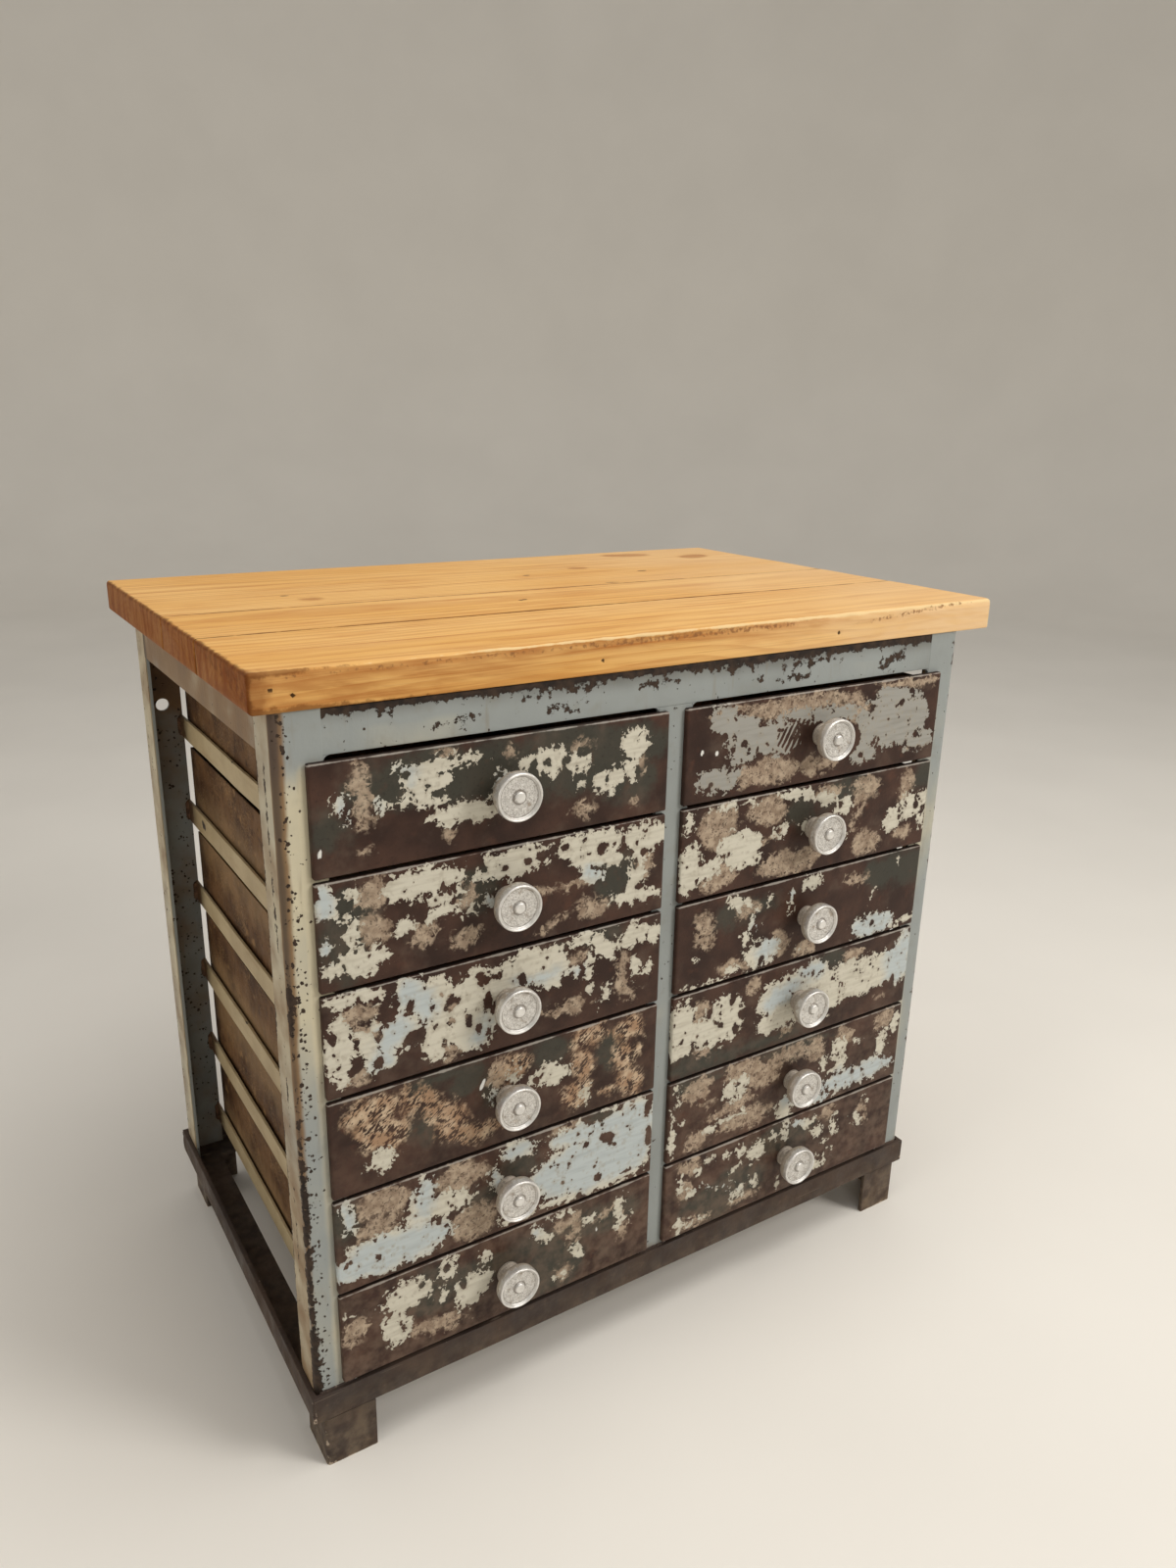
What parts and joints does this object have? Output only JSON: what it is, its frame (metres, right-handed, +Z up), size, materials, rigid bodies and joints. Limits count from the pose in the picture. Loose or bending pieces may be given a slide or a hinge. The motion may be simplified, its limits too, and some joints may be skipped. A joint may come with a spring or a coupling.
{
  "type": "metal chest of drawers",
  "caption": "Floor-standing metal chest of drawers: welded angle-iron frame with open sides, plank top, overlay sheet-steel drawers with round knobs sliding on angle runners.",
  "frame": {"origin": "on the floor, under the middle of the chest's bounding box", "axes": "+Z up, front with its drawers and knobs towards -Y, +X to the right seen from the front"},
  "size_m": [0.81, 0.5486, 0.758],
  "materials": {
    "pine": "waxed reclaimed pine planks, worn arrises",
    "frame_paint": "pale grey-blue paint, chipped to dark steel at the edges",
    "base_paint": "dark brown paint, worn",
    "runner_paint": "beige paint, rusty welds",
    "front_paint": "dark rusty steel with flaking layers of cream, pale blue and tan paint",
    "tray_steel": "bare sheet steel, brown with rust",
    "knob_aluminium": "cast aluminium, pebbled face inside a bright rim",
    "screw_steel": "dull steel screws"
  },
  "bodies": {
    "frame": {"top_plank_front": "pine", "top_plank_middle": "pine", "top_plank_back": "pine", "top_screws": "screw_steel", "feet": "base_paint", "post_front_left": "frame_paint", "post_front_right": "frame_paint", "post_rear_left": "frame_paint", "post_rear_right": "frame_paint", "front_mullion": "frame_paint", "rear_centre_bar": "frame_paint", "top_rail_front": "frame_paint", "top_rail_rear": "frame_paint", "top_rail_left": "frame_paint", "top_rail_right": "frame_paint", "base_rail_front": "base_paint", "base_rail_rear": "base_paint", "base_rail_left": "base_paint", "base_rail_right": "base_paint", "runners_left_outer": "runner_paint", "runners_left_inner": "runner_paint", "runners_right_inner": "runner_paint", "runners_right_outer": "runner_paint"},
    "drawer_l1": {"drawer_front_l1": "front_paint", "drawer_tray_l1": "tray_steel", "knob_l1": "knob_aluminium"},
    "drawer_l2": {"drawer_front_l2": "front_paint", "drawer_tray_l2": "tray_steel", "knob_l2": "knob_aluminium"},
    "drawer_l3": {"drawer_front_l3": "front_paint", "drawer_tray_l3": "tray_steel", "knob_l3": "knob_aluminium"},
    "drawer_l4": {"drawer_front_l4": "front_paint", "drawer_tray_l4": "tray_steel", "knob_l4": "knob_aluminium"},
    "drawer_l5": {"drawer_front_l5": "front_paint", "drawer_tray_l5": "tray_steel", "knob_l5": "knob_aluminium"},
    "drawer_l6": {"drawer_front_l6": "front_paint", "drawer_tray_l6": "tray_steel", "knob_l6": "knob_aluminium"},
    "drawer_r1": {"drawer_front_r1": "front_paint", "drawer_tray_r1": "tray_steel", "knob_r1": "knob_aluminium"},
    "drawer_r2": {"drawer_front_r2": "front_paint", "drawer_tray_r2": "tray_steel", "knob_r2": "knob_aluminium"},
    "drawer_r3": {"drawer_front_r3": "front_paint", "drawer_tray_r3": "tray_steel", "knob_r3": "knob_aluminium"},
    "drawer_r4": {"drawer_front_r4": "front_paint", "drawer_tray_r4": "tray_steel", "knob_r4": "knob_aluminium"},
    "drawer_r5": {"drawer_front_r5": "front_paint", "drawer_tray_r5": "tray_steel", "knob_r5": "knob_aluminium"},
    "drawer_r6": {"drawer_front_r6": "front_paint", "drawer_tray_r6": "tray_steel", "knob_r6": "knob_aluminium"}
  },
  "joints": [
    {"name": "drawer_l1_slide", "type": "slide", "parent": "frame", "child": "drawer_l1", "axis": [0, -1, 0], "range_m": [0, 0.34]},
    {"name": "drawer_l2_slide", "type": "slide", "parent": "frame", "child": "drawer_l2", "axis": [0, -1, 0], "range_m": [0, 0.34]},
    {"name": "drawer_l3_slide", "type": "slide", "parent": "frame", "child": "drawer_l3", "axis": [0, -1, 0], "range_m": [0, 0.34]},
    {"name": "drawer_l4_slide", "type": "slide", "parent": "frame", "child": "drawer_l4", "axis": [0, -1, 0], "range_m": [0, 0.34]},
    {"name": "drawer_l5_slide", "type": "slide", "parent": "frame", "child": "drawer_l5", "axis": [0, -1, 0], "range_m": [0, 0.34]},
    {"name": "drawer_l6_slide", "type": "slide", "parent": "frame", "child": "drawer_l6", "axis": [0, -1, 0], "range_m": [0, 0.34]},
    {"name": "drawer_r1_slide", "type": "slide", "parent": "frame", "child": "drawer_r1", "axis": [0, -1, 0], "range_m": [0, 0.34]},
    {"name": "drawer_r2_slide", "type": "slide", "parent": "frame", "child": "drawer_r2", "axis": [0, -1, 0], "range_m": [0, 0.34]},
    {"name": "drawer_r3_slide", "type": "slide", "parent": "frame", "child": "drawer_r3", "axis": [0, -1, 0], "range_m": [0, 0.34]},
    {"name": "drawer_r4_slide", "type": "slide", "parent": "frame", "child": "drawer_r4", "axis": [0, -1, 0], "range_m": [0, 0.34]},
    {"name": "drawer_r5_slide", "type": "slide", "parent": "frame", "child": "drawer_r5", "axis": [0, -1, 0], "range_m": [0, 0.34]},
    {"name": "drawer_r6_slide", "type": "slide", "parent": "frame", "child": "drawer_r6", "axis": [0, -1, 0], "range_m": [0, 0.34]}
  ]
}
